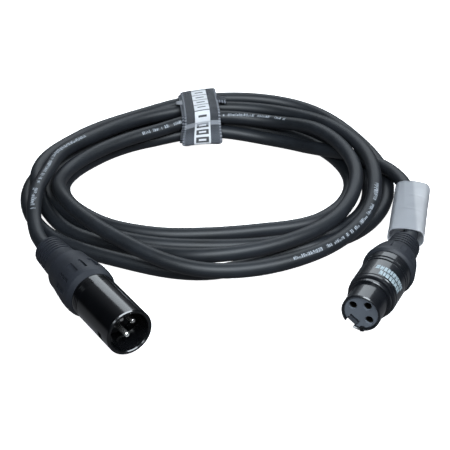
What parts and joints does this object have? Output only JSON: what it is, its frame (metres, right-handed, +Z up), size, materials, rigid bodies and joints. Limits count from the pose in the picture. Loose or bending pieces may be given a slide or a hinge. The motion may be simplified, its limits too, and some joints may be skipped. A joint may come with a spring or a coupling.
{
  "type": "coiled microphone cable",
  "caption": "Coiled balanced microphone cable with male and female XLR connectors, held by a hook-and-loop tie, with a loose marker sleeve at the female end.",
  "frame": {"origin": "middle of the bounding box on the floor plane, inside the open middle of the coil", "axes": "+Z up from the floor, +Y towards the tied side of the coil, -Y towards the open ends of both connectors, +X towards the female connector"},
  "size_m": [0.1904, 0.2239, 0.0226],
  "materials": {
    "jacket": "fine matte",
    "black_chrome": "black chrome plating, gloss",
    "insert_black": "satin",
    "insert_grey": "satin",
    "contact_silver": "silver plating",
    "spring_metal": "satin",
    "zinc": "die-cast",
    "hard_plastic": "semi-gloss",
    "boot": "satin, slightly soft",
    "latch_metal": "black",
    "core_red": "smooth",
    "core_white": "smooth",
    "copper": "bare stranded copper",
    "tie_dark": "loop pile",
    "tie_weave": "twill weave",
    "tie_light": "woven tape",
    "clear_sleeve": "translucent soft sleeve"
  },
  "bodies": {
    "cable_assembly": {"cable_coil": "jacket", "cable_tail_male": "jacket", "cable_tail_female": "jacket", "male_shell": "black_chrome", "male_insert": "insert_black", "male_pin_1": "contact_silver", "male_pin_2": "contact_silver", "male_pin_3": "contact_silver", "male_ground_ring": "spring_metal", "male_chuck": "zinc", "male_bushing": "hard_plastic", "male_boot": "boot", "male_core_hot": "core_red", "male_core_cold": "core_white", "male_drain": "copper", "female_shell": "black_chrome", "female_insert": "insert_grey", "female_contact_1": "contact_silver", "female_contact_2": "contact_silver", "female_contact_3": "contact_silver", "female_latch_pivot": "spring_metal", "female_latch_spring": "spring_metal", "female_ground_tab": "spring_metal", "female_chuck": "zinc", "female_bushing": "hard_plastic", "female_boot": "boot", "female_core_hot": "core_red", "female_core_cold": "core_white", "female_drain": "copper", "tie_inner_layer": "tie_dark", "tie_outer_layer": "tie_weave", "tie_tag": "tie_light", "tie_end": "tie_dark"},
    "latch": {"female_latch": "latch_metal"},
    "sleeve": {"label_sleeve": "clear_sleeve"}
  },
  "joints": [
    {"name": "latch_press", "type": "hinge", "parent": "cable_assembly", "child": "latch", "pos_m": [0.06189, -0.06902, 0.00681], "axis": [-0.7391, 0.3291, 0.5878], "range_deg": [0, 2.4], "stiffness_Nm_per_rad": 0.1, "springref_deg": -5.73},
    {"name": "sleeve_slide", "type": "slide", "parent": "cable_assembly", "child": "sleeve", "axis": [0.1822, 0.9833, 0], "range_m": [0, 0.003]}
  ]
}
